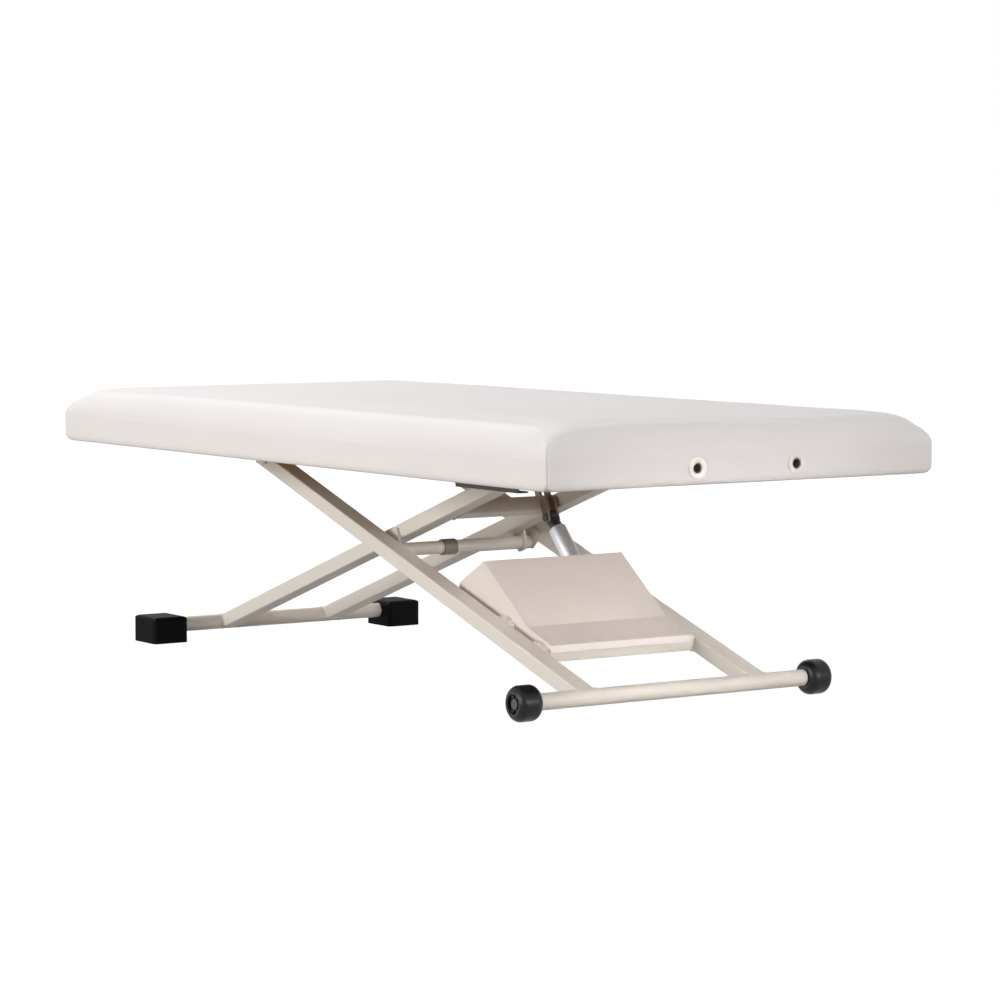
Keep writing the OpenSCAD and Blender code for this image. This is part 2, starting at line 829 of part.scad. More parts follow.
module upper_fork() {
    face = cross_rail_u + rail_w / 2;
    back = face - fork_grip_l;
    front = upper_pin_b[0] + fork_edge;
    low = upper_pin_b[1] - fork_edge;
    color("#5a5044") on_inner() translate([0, act_y, 0]) for (s = [0, 1]) mirror([0, s, 0]) difference() {
        plate_y([
            [back, rail_h / 2], [back, fork_top], [face + fork_lip, fork_top], [face + fork_neck, rail_h / 2],
            [front, fork_shoulder], [front, low], [face, low], [face, rail_h / 2]
        ], fork_in_y, fork_in_y + fork_t);
        bar_y(upper_pin_b[0], upper_pin_b[1], 0, 4 * fork_in_y, act_pin_d / 2 + weld_gap);
    }
}

module fork_pin(p, half) {
    bar_y(p[0], p[1], act_y - half - pin_cap_t, act_y + half + pin_end, act_pin_d / 2);
    bar_y(p[0], p[1], act_y - half - pin_cap_t, act_y - half - weld_gap, pin_cap_r);
}

module upper_fork_pin() {
    color(zinc_colour) fork_pin(upper_pin, fork_in_y + fork_t);
}

module roller_lugs() {
    in = inner_y + rail_w / 2;
    eye = roller_b;
    color(frame_colour) on_inner() for (s = [0, 1]) mirror([0, s, 0]) difference() {
        union() {
            plate_y([
                [inner_end_u - roller_lug_back, lug_grip], [inner_end_u, lug_grip],
                [eye[0], eye[1] + roller_lug_r], [eye[0], eye[1] - roller_lug_r],
                [inner_end_u, -rail_h / 2 - lug_edge], [inner_end_u - roller_lug_back, -rail_h / 2]
            ], in, in + lug_t);
            bar_y(eye[0], eye[1], in, in + lug_t, roller_lug_r);
        }
        bar_y(eye[0], eye[1], in - lug_t, in + 2 * lug_t, roller_axle_d / 2 + weld_gap);
    }
}

module roller_axles() {
    in = inner_y + rail_w / 2;
    x = pivot_x + pin_reach;
    color(zinc_colour) for (s = [0, 1]) mirror([0, s, 0]) {
        bar_y(x, pin_z, in - roller_head_t, roller_y + roller_w / 2, roller_axle_d / 2);
        bar_y(x, pin_z, in - roller_head_t, in - weld_gap, roller_head_r);
    }
}

module track_roller(s) {
    color("#e9e7e2") mirror([0, s, 0]) difference() {
        bar_y(pivot_x + pin_reach, pin_z, roller_y - roller_w / 2, roller_y + roller_w / 2, roller_d / 2);
        bar_y(pivot_x + pin_reach, pin_z, 0, half_w, roller_axle_d / 2 + run_fit);
    }
}

module track_roller_left() track_roller(0);
module track_roller_right() track_roller(1);

// Feet

module foot_side(l) {
    translate([-l / 2, 0]) square([l, foot_h - foot_round]);
    translate([-l / 2 + foot_round, 0]) square([l - 2 * foot_round, foot_h]);
    for (x = [-1, 1]) translate([x * (l / 2 - foot_round), foot_h - foot_round]) circle(foot_round);
}

module foot_block(s) {
    color(dark_colour) difference() {
        translate([foot_x, s * foot_y, 0]) intersection() {
            linear_extrude(foot_h) rounded_rect(foot_l, foot_w, foot_corner_r);
            translate([0, foot_w / 2, 0]) rotate([90, 0, 0]) linear_extrude(foot_w) foot_side(foot_l);
            translate([-foot_l / 2, 0, 0]) rotate([90, 0, 90]) linear_extrude(foot_l) foot_side(foot_w);
        }
        mirror([0, s > 0 ? 0 : 1, 0])
            bar_y(foot_x, base_z, 0, foot_y + foot_w / 2 - foot_tube_depth + near_gap, tube_d / 2 + run_fit);
    }
}

module foot_block_left() foot_block(1);
module foot_block_right() foot_block(-1);

// Actuator

module bar_x(from, to, r) {
    translate([from, 0, 0]) rotate([0, 90, 0]) cylinder(h = to - from, r = r);
}

module actuator_rod() {
    color("#4a4c50") on_actuator() difference() {
        union() {
            bar_y(0, 0, -upper_eye_half_w, upper_eye_half_w, upper_eye_r);
            block(
                [0, -upper_eye_half_w, -upper_tongue_h / 2],
                [upper_tongue_l, upper_eye_half_w, upper_tongue_h / 2]
            );
            bar_x(upper_tongue_l, act_rod_end, act_rod_d / 2);
            bar_x(act_rod_end - rod_foot_l, act_rod_end, act_tube_d / 2 - act_tube_wall - near_gap);
        }
        bar_y(0, 0, -act_tube_d, act_tube_d, act_pin_d / 2 + run_fit);
        bar_x(rod_neck_end, act_rod_end - rod_foot_l, act_rod_d / 2 - rod_wall);
        bar_x(rod_neck_end, act_rod_end + 1, screw_d / 2 + screw_gap);
    }
}

module actuator_tube() {
    color("#c3c6cc") on_actuator() difference() {
        bar_x(act_tube_start, housing_start, act_tube_d / 2);
        bar_x(act_tube_start + gland_l, housing_start + 1, act_tube_d / 2 - act_tube_wall);
        bar_x(act_tube_start - 1, housing_start, act_rod_d / 2 + run_fit);
    }
}

module lead_screw() {
    color(zinc_colour) on_actuator() bar_x(screw_start, housing_start, screw_d / 2);
}

module gear_housing() {
    color(dark_colour) on_actuator() difference() {
        union() {
            translate([housing_start, 0, 0]) rotate([0, 90, 0]) linear_extrude(housing_l)
                rounded_rect(2 * housing_half_h, 2 * housing_half_w, housing_r);
            block([housing_end, -lower_eye_half_w, -lower_eye_r], [act_l, lower_eye_half_w, lower_eye_r]);
            bar_y(act_l, 0, -lower_eye_half_w, lower_eye_half_w, lower_eye_r);
        }
        bar_y(act_l, 0, -housing_half_w, housing_half_w, lower_eye_d / 2);
    }
}

module motor() {
    x = housing_start + housing_l / 2;
    color("#6f7276") on_actuator()
        bar_y(x, 0, -housing_half_w - motor_l, -housing_half_w, motor_d / 2);
}

module lower_fork() {
    color("#5a5044") on_outer() translate([0, act_y, 0]) for (s = [0, 1]) mirror([0, s, 0]) difference() {
        union() {
            block(
                [lower_pin_a[0], lower_fork_in_y, lower_pin_a[1] - lower_fork_r],
                [motor_rail_back, lower_fork_in_y + lower_fork_t, lower_pin_a[1] + lower_fork_r]
            );
            bar_y(lower_pin_a[0], lower_pin_a[1], lower_fork_in_y, lower_fork_in_y + lower_fork_t, lower_fork_r);
        }
        bar_y(lower_pin_a[0], lower_pin_a[1], 0, 4 * lower_fork_in_y, act_pin_d / 2 + weld_gap);
    }
}

module lower_fork_pin() {
    color(zinc_colour) fork_pin(lower_pin, lower_fork_in_y + lower_fork_t);
}

// Motor cover

function unit(v) = v / norm(v);
function leftward(v) = [-v[1], v[0]];
function inset_point(line, i, t) =
    let (a = i == 0 ? unit(line[1] - line[0]) : unit(line[i] - line[i - 1]))
    let (b = i == len(line) - 1 ? a : unit(line[i + 1] - line[i]))
    let (m = unit(leftward(a) + leftward(b)))
    line[i] - m * t / (m * leftward(a));
function inset_line(line, t) = [for (i = [len(line) - 1:-1:0]) inset_point(line, i, t)];

// Side of the cover, which straddles both cross rails and rests on them
module cover_side() {
    in_y = cover_half_w - cover_t;
    difference() {
        plate_y(
            concat([for (i = [0:3]) cover_line[i]], [
                [-cover_lip_u, cover_low], [cover_rail_back, cover_low],
                [cover_rail_back, -cover_side_low], [-cover_back_u, -cover_side_low]
            ]),
            in_y, cover_half_w
        );
        block(
            [motor_rail_back - notch_gap, in_y - 1, -rail_h],
            [motor_rail_back + rail_w + notch_gap, cover_half_w + 1, rail_h / 2]
        );
        block(
            [cover_rail_back - notch_gap, in_y - 1, -rail_h],
            [cover_rail_back + 1, cover_half_w + 1, rail_h / 2]
        );
    }
}

module motor_cover() {
    slot_w = act_tube_d + 2 * cover_slot_side;
    slot_l = act_tube_d + 2 * cover_slot_end;
    color("#d6cdc6") difference() {
        on_outer() {
            plate_y(concat(cover_line, inset_line(cover_line, cover_t)), -cover_half_w, cover_half_w);
            for (s = [0, 1]) mirror([0, s, 0]) {
                cover_side();
                for (u = tab_places) block(
                    [u - tab_l / 2, cover_half_w, rail_h / 2],
                    [u + tab_l / 2, tab_out_y, rail_h / 2 + tab_t]
                );
            }
        }
        on_actuator() translate([act_tube_start, 0, 0]) rotate([0, 90, 0])
            linear_extrude(housing_start - act_tube_start) rounded_rect(slot_l, slot_w, slot_w / 3);
        on_outer() cover_screw_places() cylinder(h = 4 * tab_t, r = tab_screw_r + weld_gap, center = true);
    }
}

module cover_screw_places() {
    for (s = [-1, 1], u = tab_places)
        translate([u, s * (cover_half_w + tab_out_y) / 2, rail_h / 2 + tab_t]) children();
}

module cover_screws() {
    color(zinc_colour) on_outer() cover_screw_places() {
        cylinder(h = tab_head_t, r = tab_head_r);
        translate([0, 0, -tab_t]) cylinder(h = tab_t, r = tab_screw_r);
    }
}

// Control box and its inlet

module control_box() {
    h = box_high - box_low;
    color("#2d2c2b") on_outer() translate([motor_rail_back - box_l, box_y + box_w / 2, box_low + h / 2])
        rotate([90, 0, 90]) linear_extrude(box_l) rounded_rect(box_w, h, box_r);
}

module mains_inlet() {
    face = motor_rail_back - box_l;
    y = box_y + box_w / 2;
    z = (box_high + box_low) / 2;
    color(dark_colour) on_outer() difference() {
        block([face - inlet_l, y - inlet_w / 2, z - inlet_h / 2], [face, y + inlet_w / 2, z + inlet_h / 2]);
        block(
            [face - inlet_l - 1, y - inlet_w / 2 + inlet_rim, z - inlet_h / 2 + inlet_rim],
            [face - inlet_l + inlet_depth, y + inlet_w / 2 - inlet_rim, z + inlet_h / 2 - inlet_rim]
        );
    }
}

vinyl_cover();
foam_pad();
deck_board();
side_rail_left();
side_rail_right();
end_rail_head();
end_rail_foot();
bearer_foot();
bearer_middle();
bearer_head();
sleeve_bearer();
cradle_sleeve_left();
cradle_sleeve_right();
cradle_ring_left();
cradle_ring_right();
pin_bracket_left();
pin_bracket_right();
top_pins();
track_left();
track_right();
outer_rail_left();
outer_rail_right();
outer_rail_plugs();
front_cross_tube();
cover_cross_rail();
motor_cross_rail();
outer_lugs();
pivot_bolts();
lower_fork();
lower_fork_pin();
motor_cover();
cover_screws();
control_box();
mains_inlet();
axle_bolts();
wheel_tyre_left();
wheel_hub_left();
wheel_tyre_right();
wheel_hub_right();
inner_rail_left();
inner_rail_right();
inner_rail_plugs();
foot_cross_tube();
upper_cross_rail();
pivot_bar();
inner_lugs();
pivot_collar();
upper_fork();
upper_fork_pin();
roller_lugs();
roller_axles();
track_roller_left();
track_roller_right();
foot_block_left();
foot_block_right();
actuator_tube();
gear_housing();
motor();
lead_screw();
actuator_rod();
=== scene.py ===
"""Looks of a height-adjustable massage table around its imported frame, in metres.

+X points to the head end, +Y to the left, +Z up, and the floor is at z = 0.
"""
import json
import math

import bmesh
import bpy
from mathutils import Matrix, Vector, kdtree, noise


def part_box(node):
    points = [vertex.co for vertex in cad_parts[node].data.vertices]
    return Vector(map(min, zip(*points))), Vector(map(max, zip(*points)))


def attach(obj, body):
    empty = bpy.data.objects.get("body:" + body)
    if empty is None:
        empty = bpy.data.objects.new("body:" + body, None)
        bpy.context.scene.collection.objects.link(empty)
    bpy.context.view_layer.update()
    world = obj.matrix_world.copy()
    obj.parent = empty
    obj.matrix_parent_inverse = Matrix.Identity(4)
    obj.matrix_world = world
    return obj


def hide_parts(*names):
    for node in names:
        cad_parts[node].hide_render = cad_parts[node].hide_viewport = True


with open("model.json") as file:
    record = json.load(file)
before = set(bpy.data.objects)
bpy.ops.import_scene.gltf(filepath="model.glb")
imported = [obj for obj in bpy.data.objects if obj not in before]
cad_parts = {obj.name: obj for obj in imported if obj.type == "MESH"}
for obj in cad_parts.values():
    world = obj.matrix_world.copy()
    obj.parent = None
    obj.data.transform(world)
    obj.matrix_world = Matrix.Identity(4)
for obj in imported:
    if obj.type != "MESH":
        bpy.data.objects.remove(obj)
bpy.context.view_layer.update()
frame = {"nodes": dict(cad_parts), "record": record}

# The photograph's camera, found from the table's edges, wheels, feet and rails; angles in degrees, lens in mm
CAMERA_PLACE = (5.8114, -3.8344, 0.8917)
CAMERA_AZIMUTH = 56.095
CAMERA_ELEVATION = 4.486
CAMERA_LENS = 123.1
CAMERA_SENSOR = 36.0
CAMERA_SHIFT_X = 0.0044


def node_box(name):
    """Lowest and highest corner of a CAD node as vectors."""
    low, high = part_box(name)
    return Vector(low), Vector(high)


def middle_of(name):
    """Middle of a CAD node's box."""
    low, high = node_box(name)
    return (low + high) / 2


# Places taken from the frame
cover_low, cover_high = node_box("vinyl_cover")
HALF_L = cover_high.x
HALF_W = cover_high.y
FOLD_Z = cover_low.z
TOP_Z = cover_high.z
UNDER_Z = node_box("side_rail_left")[0].z
DECK_Z = node_box("deck_board")[1].z


def add_object(name, mesh):
    """New object in the scene for a mesh, lamp or camera."""
    obj = bpy.data.objects.new(name, mesh)
    bpy.context.scene.collection.objects.link(obj)
    return obj


def mesh_object(name, points, faces, smooth=True):
    """New object from points and faces."""
    mesh = bpy.data.meshes.new(name)
    mesh.from_pydata([tuple(p) for p in points], [], faces)
    mesh.validate()
    mesh.update()
    if smooth:
        mesh.shade_smooth()
    return add_object(name, mesh)


# Materials

# Rounding that the coats show on sharp edges, and the height up to which rubber is dusty
COAT_EDGE = 0.0009
DUST_TOP = 0.012
PORE_SIZE = 620.0

# Sockets of a mix node that carry colours
MIX_A = 6
MIX_B = 7
MIX_OUT = 2


class Shader:
    """A new material with short ways to add and join its nodes."""

    def __init__(self, name):
        self.material = bpy.data.materials.new(name)
        self.material.use_nodes = True
        self.tree = self.material.node_tree
        self.surface = self.tree.nodes["Principled BSDF"]

    def node(self, kind, **settings):
        """New node, with its sockets or settings given by name."""
        made = self.tree.nodes.new(kind)
        for key, value in settings.items():
            if key in made.inputs:
                made.inputs[key].default_value = value
            else:
                setattr(made, key, value)
        return made

    def join(self, out, into):
        self.tree.links.new(out, into)

    def feed(self, socket, value):
        """Joins a socket to a node's output, or sets it to a number or a colour."""
        if isinstance(value, bpy.types.NodeSocket):
            self.join(value, socket)
        elif isinstance(value, (int, float)):
            socket.default_value = value
        else:
            socket.default_value = (*value, 1.0)

    def place(self):
        """Coordinates that stay with the piece, in metres."""
        if not hasattr(self, "coordinates"):
            self.coordinates = self.node("ShaderNodeTexCoord").outputs["Object"]
        return self.coordinates

    def stretched(self, scale):
        """Coordinates with a scale of their own along each axis."""
        mapping = self.node("ShaderNodeMapping")
        mapping.inputs["Scale"].default_value = scale
        self.join(self.place(), mapping.inputs["Vector"])
        return mapping.outputs["Vector"]

    def noise(self, scale, detail=4.0, roughness=0.55, vector=None):
        made = self.node("ShaderNodeTexNoise")
        made.inputs["Scale"].default_value = scale
        made.inputs["Detail"].default_value = detail
        made.inputs["Roughness"].default_value = roughness
        self.join(vector or self.place(), made.inputs["Vector"])
        return made.outputs["Fac"]

    def cells(self, scale, feature="F1"):
        """Distances in a pattern of small cells."""
        made = self.node("ShaderNodeTexVoronoi", feature=feature)
        made.inputs["Scale"].default_value = scale
        self.join(self.place(), made.inputs["Vector"])
        return made.outputs["Distance"]

    def ramp(self, value, stops):
        """Colours or greys at places from 0 to 1 along value."""
        made = self.node("ShaderNodeValToRGB")
        elements = made.color_ramp.elements
        while len(elements) < len(stops):
            elements.new(0.5)
        for element, (place, colour) in zip(elements, stops):
            element.position = place
            element.color = (*colour, 1.0) if len(colour) == 3 else colour
        self.join(value, made.inputs["Fac"])
        return made.outputs["Color"]

    def mix(self, factor, a, b, blend="MIX"):
        made = self.node("ShaderNodeMix", data_type="RGBA", blend_type=blend)
        self.feed(made.inputs["Factor"], factor)
        self.feed(made.inputs[MIX_A], a)
        self.feed(made.inputs[MIX_B], b)
        return made.outputs[MIX_OUT]

    def spread(self, value, low, high):
        """Value from 0 to 1 spread between low and high."""
        made = self.node("ShaderNodeMapRange")
        made.inputs["To Min"].default_value = low
        made.inputs["To Max"].default_value = high
        self.join(value, made.inputs["Value"])
        return made.outputs["Result"]

    def bump(self, height, distance, strength=1.0, under=None):
        """Normal raised by height, over another normal if one is given."""
        made = self.node("ShaderNodeBump")
        made.inputs["Strength"].default_value = strength
        made.inputs["Distance"].default_value = distance
        self.join(height, made.inputs["Height"])
        if under is not None:
            self.join(under, made.inputs["Normal"])
        return made.outputs["Normal"]

    def colour(self, value):
        self.feed(self.surface.inputs["Base Color"], value)

    def roughness(self, value):
        self.feed(self.surface.inputs["Roughness"], value)

    def specular(self, value):
        self.feed(self.surface.inputs["Specular IOR Level"], value)

    def normal(self, value):
        self.join(value, self.surface.inputs["Normal"])


def scaled(colour, factor):
    """Colour made lighter or darker by factor."""
    return tuple(min(1.0, c * factor) for c in colour)


def vinyl_material():
    """Matt white upholstery vinyl with fine pores and a leather-like grain."""
    s = Shader("vinyl_white")
    base = (0.755, 0.728, 0.722)
    drift = s.noise(2.2, 3.0)
    pores = s.cells(PORE_SIZE)
    tone = s.ramp(drift, [(0.3, scaled(base, 0.975)), (0.7, scaled(base, 1.01))])
    s.colour(s.mix(s.spread(pores, 0.05, 0.0), tone, scaled(base, 0.86)))
    s.roughness(s.spread(s.noise(30.0, 3.0), 0.50, 0.60))
    s.specular(0.16)
    grain = s.bump(s.cells(PORE_SIZE, "DISTANCE_TO_EDGE"), 0.00035, 0.35)
    s.normal(s.bump(s.noise(900.0, 2.0), 0.00012, 0.3, grain))
    return s.material


def powder_coat(name, base, roughness=0.44, speckle=0.97):
    """Satin powder coat with eased edges, a fine orange peel and a faint drift of colour."""
    s = Shader(name)
    drift = s.ramp(s.noise(7.0, 4.0), [(0.3, scaled(base, 0.965)), (0.72, scaled(base, 1.015))])
    spots = s.ramp(s.noise(420.0, 2.0), [(0.3, scaled(base, speckle * 0.97)), (0.55, scaled(base, 1.0))])
    s.colour(s.mix(0.35, drift, spots))
    s.roughness(s.spread(s.noise(45.0, 3.0), roughness - 0.06, roughness + 0.08))
    s.specular(0.45)
    rounded = s.node("ShaderNodeBevel", Radius=COAT_EDGE).outputs["Normal"]
    s.normal(s.bump(s.noise(650.0, 2.0), 0.00022, 0.28, rounded))
    return s.material


def metal(name, base, roughness=0.3, brushed=(1.0, 1.0, 1.0), scale=400.0):
    """Bare or plated metal with fine lines or mottle."""
    s = Shader(name)
    s.surface.inputs["Metallic"].default_value = 1.0
    lines = s.noise(scale, 3.0, vector=s.stretched(brushed))
    s.colour(s.ramp(lines, [(0.25, scaled(base, 0.86)), (0.75, scaled(base, 1.05))]))
    s.roughness(s.spread(lines, roughness - 0.06, roughness + 0.1))
    s.normal(s.bump(lines, 0.00006, 0.2))
    return s.material


def plastic(name, base, roughness=0.5, grain=900.0, depth=0.00012):
    """Moulded plastic with a spark-eroded grain."""
    s = Shader(name)
    mottle = s.noise(grain, 2.0)
    s.colour(s.ramp(s.noise(14.0, 3.0), [(0.3, scaled(base, 0.9)), (0.7, scaled(base, 1.12))]))
    s.roughness(s.spread(mottle, roughness - 0.05, roughness + 0.08))
    s.normal(s.bump(mottle, depth, 0.4))
    return s.material


def rubber(name, base, roughness=0.62, shine=0.3):
    """Moulded rubber, dusty where it meets the floor."""
    s = Shader(name)
    height = s.node("ShaderNodeSeparateXYZ")
    s.join(s.place(), height.inputs["Vector"])
    low = s.node("ShaderNodeMapRange")
    low.inputs["From Max"].default_value = DUST_TOP
    s.join(height.outputs["Z"], low.inputs["Value"])
    dust = s.mix(0.6, s.noise(60.0, 5.0), low.outputs["Result"], "MULTIPLY")
    s.colour(s.ramp(dust, [(0.0, scaled(base, 2.4)), (0.35, base)]))
    s.roughness(s.spread(s.noise(150.0, 3.0), roughness - 0.06, roughness + 0.1))
    s.specular(shine)
    s.normal(s.bump(s.noise(700.0, 3.0), 0.0002, 0.35))
    return s.material


def wood(name, base, dark, along=(1.0, 14.0, 14.0)):
    """Sawn softwood or plywood with grain along one axis."""
    s = Shader(name)
    rings = s.noise(9.0, 6.0, 0.6, s.stretched(along))
    fibre = s.noise(160.0, 3.0, 0.6, s.stretched(along))
    ring_tone = s.ramp(rings, [(0.32, dark), (0.62, base)])
    s.colour(s.mix(0.35, ring_tone, s.ramp(fibre, [(0.3, dark), (0.7, base)])))
    s.roughness(s.spread(fibre, 0.55, 0.75))
    s.normal(s.bump(fibre, 0.0004, 0.4))
    return s.material


IVORY = (0.74, 0.685, 0.62)
BEIGE = (0.76, 0.69, 0.645)
# Bracket brown: painted shade, the colour the ivory frame takes where it lies in shadow under the top
PAINTED_SHADE_BROWN = (0.36, 0.29, 0.22)
DARK = (0.045, 0.036, 0.030)
BLACK = (0.010, 0.010, 0.011)

MATERIALS = {
    "vinyl": vinyl_material(),
    "frame_paint": powder_coat("powder_ivory", IVORY),
    "cover_paint": powder_coat("powder_beige", BEIGE, 0.5),
    "dark_paint": powder_coat("powder_dark", DARK, 0.4),
    # Brackets in the painted shade brown
    "bracket_paint": powder_coat("powder_painted_shade_brown", PAINTED_SHADE_BROWN, 0.42),
    "dark_bolt": metal("black_steel", (0.10, 0.10, 0.105), 0.36, scale=260.0),
    "collar": plastic("collar_plastic", (0.22, 0.20, 0.155), 0.5),
    "zinc": metal("zinc_plate", (0.62, 0.62, 0.60), 0.34, scale=260.0),
    "ring": plastic("ring_plastic", (0.84, 0.79, 0.74), 0.4),
    "black_plastic": plastic("black_plastic", BLACK, 0.48),
    "roller_plastic": plastic("roller_nylon", (0.72, 0.71, 0.67), 0.42, 500.0),
    "tyre": rubber("tyre_rubber", (0.006, 0.006, 0.008), 0.34, 0.26),
    "hub": plastic("hub_plastic", (0.016, 0.016, 0.018), 0.38),
    "foot_rubber": rubber("foot_rubber", (0.003, 0.003, 0.0035), 0.6, 0.05),
    "actuator_metal": metal("actuator_tube", (0.74, 0.755, 0.79), 0.55, (1.0, 1.0, 1.0), 300.0),
    "motor_metal": powder_coat("motor_paint", (0.11, 0.115, 0.12), 0.38),
    "rod_metal": metal("rod_steel", (0.12, 0.125, 0.15), 0.36, scale=300.0),
    "wood": wood("board_wood", (0.55, 0.38, 0.20), (0.36, 0.22, 0.10)),
    "foam": plastic("open_foam", (0.74, 0.68, 0.44), 0.9, 300.0, 0.0006),
}
PLYWOOD = wood("plywood", (0.56, 0.41, 0.24), (0.42, 0.28, 0.14), (1.0, 9.0, 9.0))
# Seam thread: the thread is real, but its grey is painted shade of the corner grooves
PAINTED_SHADE_THREAD = plastic("thread_painted_shade", (0.50, 0.48, 0.47), 0.8)


def dress_nodes():
    """Gives every CAD node the material of its slot, the deck and the painted screws their own."""
    slots = {row["node"]: row["material_slot"] for row in frame["record"]["subparts"]}
    own = {"deck_board": PLYWOOD, "cover_screws": MATERIALS["cover_paint"]}
    for name, obj in frame["nodes"].items():
        obj.data.materials.clear()
        obj.data.materials.append(own.get(name, MATERIALS[slots[name]]))


# Mesh builders


def swept(name, path, radius, sides=8, closed=False):
    """Round bead along a path, with a radius for each point."""
    count = len(path)
    points, faces = [], []
    side = None
    for i, p in enumerate(path):
        before = path[i - 1] if i or closed else path[0]
        after = path[(i + 1) % count] if i < count - 1 or closed else path[-1]
        along = (after - before).normalized()
        if side is None:
            side = along.orthogonal().normalized()
        side = (side - along * side.dot(along)).normalized()
        up = along.cross(side)
        for k in range(sides):
            turn = 2 * math.pi * k / sides
            points.append(p + (side * math.cos(turn) + up * math.sin(turn)) * radius[i])
    for i in range(count if closed else count - 1):
        a, b = i * sides, (i + 1) % count * sides
        for k in range(sides):
            n = (k + 1) % sides
            faces.append((a + k, a + n, b + n, b + k))
    if not closed:
        faces.append(tuple(reversed(range(sides))))
        faces.append(tuple(range((count - 1) * sides, count * sides)))
    return mesh_object(name, points, faces)


# Upholstered top

# Plan, anticlockwise from the head end's left corner: signs, radii, how they grow inwards, drawn-in sides
CORNERS = ((1, 1), (-1, 1), (-1, -1), (1, -1))
CORNER_R = 0.008
LOW_CORNER_R = 0.030
CORNER_SPREAD = 1.3
CORNER_SHARE = 0.8
SIDE_DRAW = 0.003

# Section: fold under the frame, tuck of the lower edge, upper edge, crown, and the inner faces
FOLD_W = 0.035
FOLD_MIDDLE = 0.0245
FOLD_START = 0.012
EDGE_TUCK = 0.006
TUCK_H = 0.014
EDGE_ROUND = 0.048
CROWN = 0.004
CROWN_EASE = 1.35
RIDGE_HALF = 0.004
RIM_Z = TOP_Z - CROWN
SKIN = 0.002
DECK_GAP = 0.0002
INNER_TOP = 0.001
INNER_SIDE = 0.02

# Points along each stretch of the outline, closer together near its corners, and of the section
CORNER_STEPS = 16
EDGE_STEPS = 150
EDGE_EVEN = 0.35
LEVEL_POINTS = len(CORNERS) * (CORNER_STEPS + EDGE_STEPS)
TUCK_STEPS = 6
SIDE_STEPS = 14
ROUND_STEPS = 26
CROWN_STEPS = 30

# Groove at the sewn corners, its thread, and how far up each goes as a share of the upper edge
SEAM_DEPTH = 0.0022
SEAM_HALF = 0.0020
SEAM_FADE = 2.2
SEAM_THREAD = 0.0009
SEAM_SUNK = 0.0003
SEAM_END = 0.6
SEAM_STEPS = 48
SEAM_REACH = 0.03

# Cloth trial: coarse grid, length, pressure, and how much of its moves the fine mesh takes
CLOTH_VOXEL = 0.013
CLOTH_FRAMES = 16
CLOTH_PRESSURE = 4.0
CLOTH_CAP = 0.0035
CLOTH_SHARE = 0.5
CLOTH_FADE = 0.045
CLOTH_NEAR = 6
CLOTH_BLUR = 0.002

# Settling: waves all over, softer upper corners, the lower foot end
SWELL = 0.0007
WAVES = ((5.0, 1.0), (13.0, 0.5), (31.0, 0.2))
SOFT_DROP = 0.0035
SOFT_DRAW = 0.0100
SOFT_REACH = 0.060
SOFT_LOW = 1.4
FOOT_SINK = 0.004
FOOT_REACH = 0.45

# Lip and groove along the head end's upper edge, strongest near the corners
LIP_OUT = 0.007
LIP_Z = 0.0085
LIP_HALF = 0.006
GROOVE_IN = 0.0065
GROOVE_Z = 0.026
GROOVE_HALF = 0.008
PINCH_REACH = 0.12
PINCH_START = 0.050
PINCH_FADE = 0.024

# Cradle holes: gap round the rings, and the puckers of the vinyl
HOLE_GAP = 0.0003
HOLE_DEPTH = 0.03
PUCKER_DEPTH = 0.0022
PUCKER_W = 0.040
PUCKER_H = 0.020
PUCKER_FOLDS = 7
PUCKER_SHARE = 0.35
PUCKER_SHIFT = 20
HEAD_FACE = 0.006

# Angles in degrees beyond which an edge of the top or of a ring stays an edge
SHARP_TOP = 40
SHARP_RING = 35


def outline(half_l, half_w, radius, draw):
    """Level outline, with the way each point faces and its place from 0 to 1 along a corner, or None."""
    points = []
    centres = [Vector((sx * (half_l - radius), sy * (half_w - radius))) for sx, sy in CORNERS]
    for i, centre in enumerate(centres):
        for k in range(CORNER_STEPS + 1):
            turn = math.radians(90 * (i + k / CORNER_STEPS))
            out = Vector((math.cos(turn), math.sin(turn)))
            points.append((centre + radius * out, turn, k / CORNER_STEPS))
        turn = math.radians(90 * (i + 1))
        out = Vector((math.cos(turn), math.sin(turn)))
        start = centre + radius * out
        end = centres[(i + 1) % len(centres)] + radius * out
        for n in range(1, EDGE_STEPS):
            beat = math.cos(math.pi * n / EDGE_STEPS)
            s = 0.5 - 0.5 * beat * (EDGE_EVEN + (1 - EDGE_EVEN) * abs(beat))
            p = start.lerp(end, s) - out * draw * math.sin(math.pi * s)
            points.append((p, turn, None))
    return points


